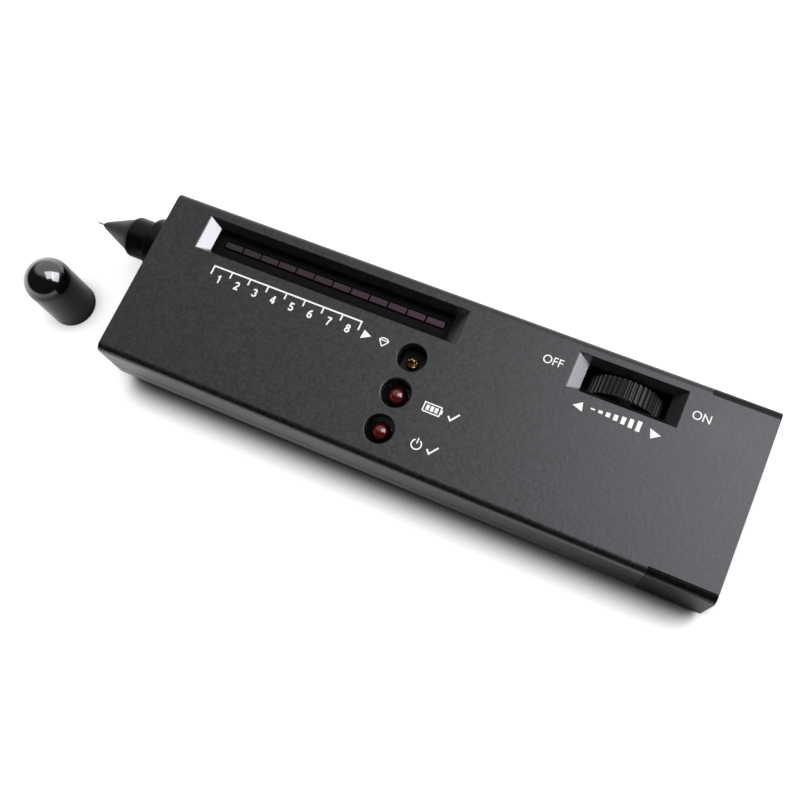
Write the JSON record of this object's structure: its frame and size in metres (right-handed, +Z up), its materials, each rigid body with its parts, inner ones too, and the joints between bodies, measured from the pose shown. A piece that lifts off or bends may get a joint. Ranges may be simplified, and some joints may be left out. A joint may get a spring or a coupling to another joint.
{
  "type": "diamond tester",
  "caption": "Slim handheld gem tester: warm probe on the nose, bar lamps in a recess, round lamps, trimmer hole, thumbwheel switch, battery under a sliding end cap, loose probe cap.",
  "frame": {"origin": "middle of the case's flat underside, half way along the case and half way across it", "axes": "+X from the probe to the tail, +Y towards the side with the row of bar lamps, +Z up out of the top face"},
  "size_m": [0.1869, 0.046, 0.022],
  "materials": {
    "case_top": "fine matte grain, charcoal",
    "case_bottom": "fine matte grain, black",
    "end_cap": "fine matte grain, black",
    "plate_metal": "brushed nickel",
    "board": "green glass-fibre laminate",
    "spacer": "black moulding",
    "bar_lens": "tinted resin, unlit",
    "red_lamp": "clear red resin",
    "component_black": "moulded black epoxy",
    "brass_screw": "turned brass",
    "capacitor_sleeve": "shrunk plastic sleeve",
    "resistor_coat": "beige lacquer",
    "wheel_plastic": "ribbed black moulding",
    "plain_steel": "bright zinc plate",
    "tinned_metal": "tinned",
    "battery_wrap": "plain dark sleeve, bare of print",
    "snap_plastic": "soft black vinyl",
    "lead_red": "red insulation",
    "lead_black": "black insulation",
    "lead_white": "white insulation",
    "lead_blue": "blue insulation",
    "probe_black": "satin black moulding",
    "cone_plastic": "smoky grey, slightly translucent",
    "ring_plastic": "dark insulating ring",
    "copper_pin": "worn plated copper",
    "ceramic": "ceramic",
    "cap_gloss": "glossy black moulding"
  },
  "bodies": {
    "case": {"top_cover": "case_top", "bottom_cover": "case_bottom", "contact_plate": "plate_metal", "circuit_board": "board", "bar_led_holder": "spacer", "battery_lamp": "red_lamp", "ready_lamp": "red_lamp", "trimmer_body": "component_black", "chip_1": "component_black", "chip_2": "component_black", "capacitor_1": "capacitor_sleeve", "capacitor_2": "capacitor_sleeve", "transistor": "component_black", "buzzer": "component_black", "volume_pot": "component_black", "pot_terminals": "tinned_metal", "battery": "battery_wrap", "battery_stud": "tinned_metal", "battery_socket": "tinned_metal", "snap_stud": "tinned_metal", "snap_socket": "tinned_metal", "battery_snap": "snap_plastic", "battery_lead_red": "lead_red", "battery_lead_black": "lead_black", "probe_barrel": "probe_black", "probe_cone": "cone_plastic", "tip_ring": "ring_plastic", "probe_spring": "plain_steel", "probe_plug": "ceramic", "probe_lead_white": "lead_white", "probe_lead_blue": "lead_blue", "bar_led_1": "bar_lens", "bar_led_2": "bar_lens", "bar_led_3": "bar_lens", "bar_led_4": "bar_lens", "bar_led_5": "bar_lens", "bar_led_6": "bar_lens", "bar_led_7": "bar_lens", "bar_led_8": "bar_lens", "bar_led_9": "bar_lens", "bar_led_10": "bar_lens", "bar_led_11": "bar_lens", "bar_led_12": "bar_lens", "case_screw_1": "plain_steel", "case_screw_2": "plain_steel", "case_screw_3": "plain_steel", "case_screw_4": "plain_steel", "resistor_1": "resistor_coat", "resistor_2": "resistor_coat", "resistor_3": "resistor_coat", "resistor_4": "resistor_coat"},
    "wheel": {"volume_wheel": "wheel_plastic", "wheel_shaft": "plain_steel", "wheel_screw": "plain_steel"},
    "end_cap": {"battery_cover": "end_cap"},
    "trimmer": {"trimmer_screw": "brass_screw"},
    "probe_tip": {"probe_pin": "copper_pin", "probe_heater": "ceramic"},
    "cap": {"probe_cap": "cap_gloss"}
  },
  "joints": [
    {"name": "wheel_turn", "type": "hinge", "parent": "case", "child": "wheel", "pos_m": [0.0444, 0.0154, 0.0116], "axis": [0, 1, 0], "range_deg": [0, 300]},
    {"name": "end_cap_slide", "type": "slide", "parent": "case", "child": "end_cap", "axis": [1, 0, 0], "range_m": [0, 0.03]},
    {"name": "trimmer_turn", "type": "hinge", "parent": "case", "child": "trimmer", "pos_m": [-0.0048, 0.00376, 0.0153], "axis": [0, 0, 1], "range_deg": [-135, 135]},
    {"name": "probe_press", "type": "slide", "parent": "case", "child": "probe_tip", "axis": [1, 0, 0], "range_m": [0, 0.0008], "stiffness_N_per_m": 150, "springref_m": -0.003, "deforming": ["probe_spring"]},
    {"name": "cap_lift", "type": "slide", "parent": "case", "child": "cap", "axis": [0, 0, 1], "range_m": [0, 0.06]}
  ]
}
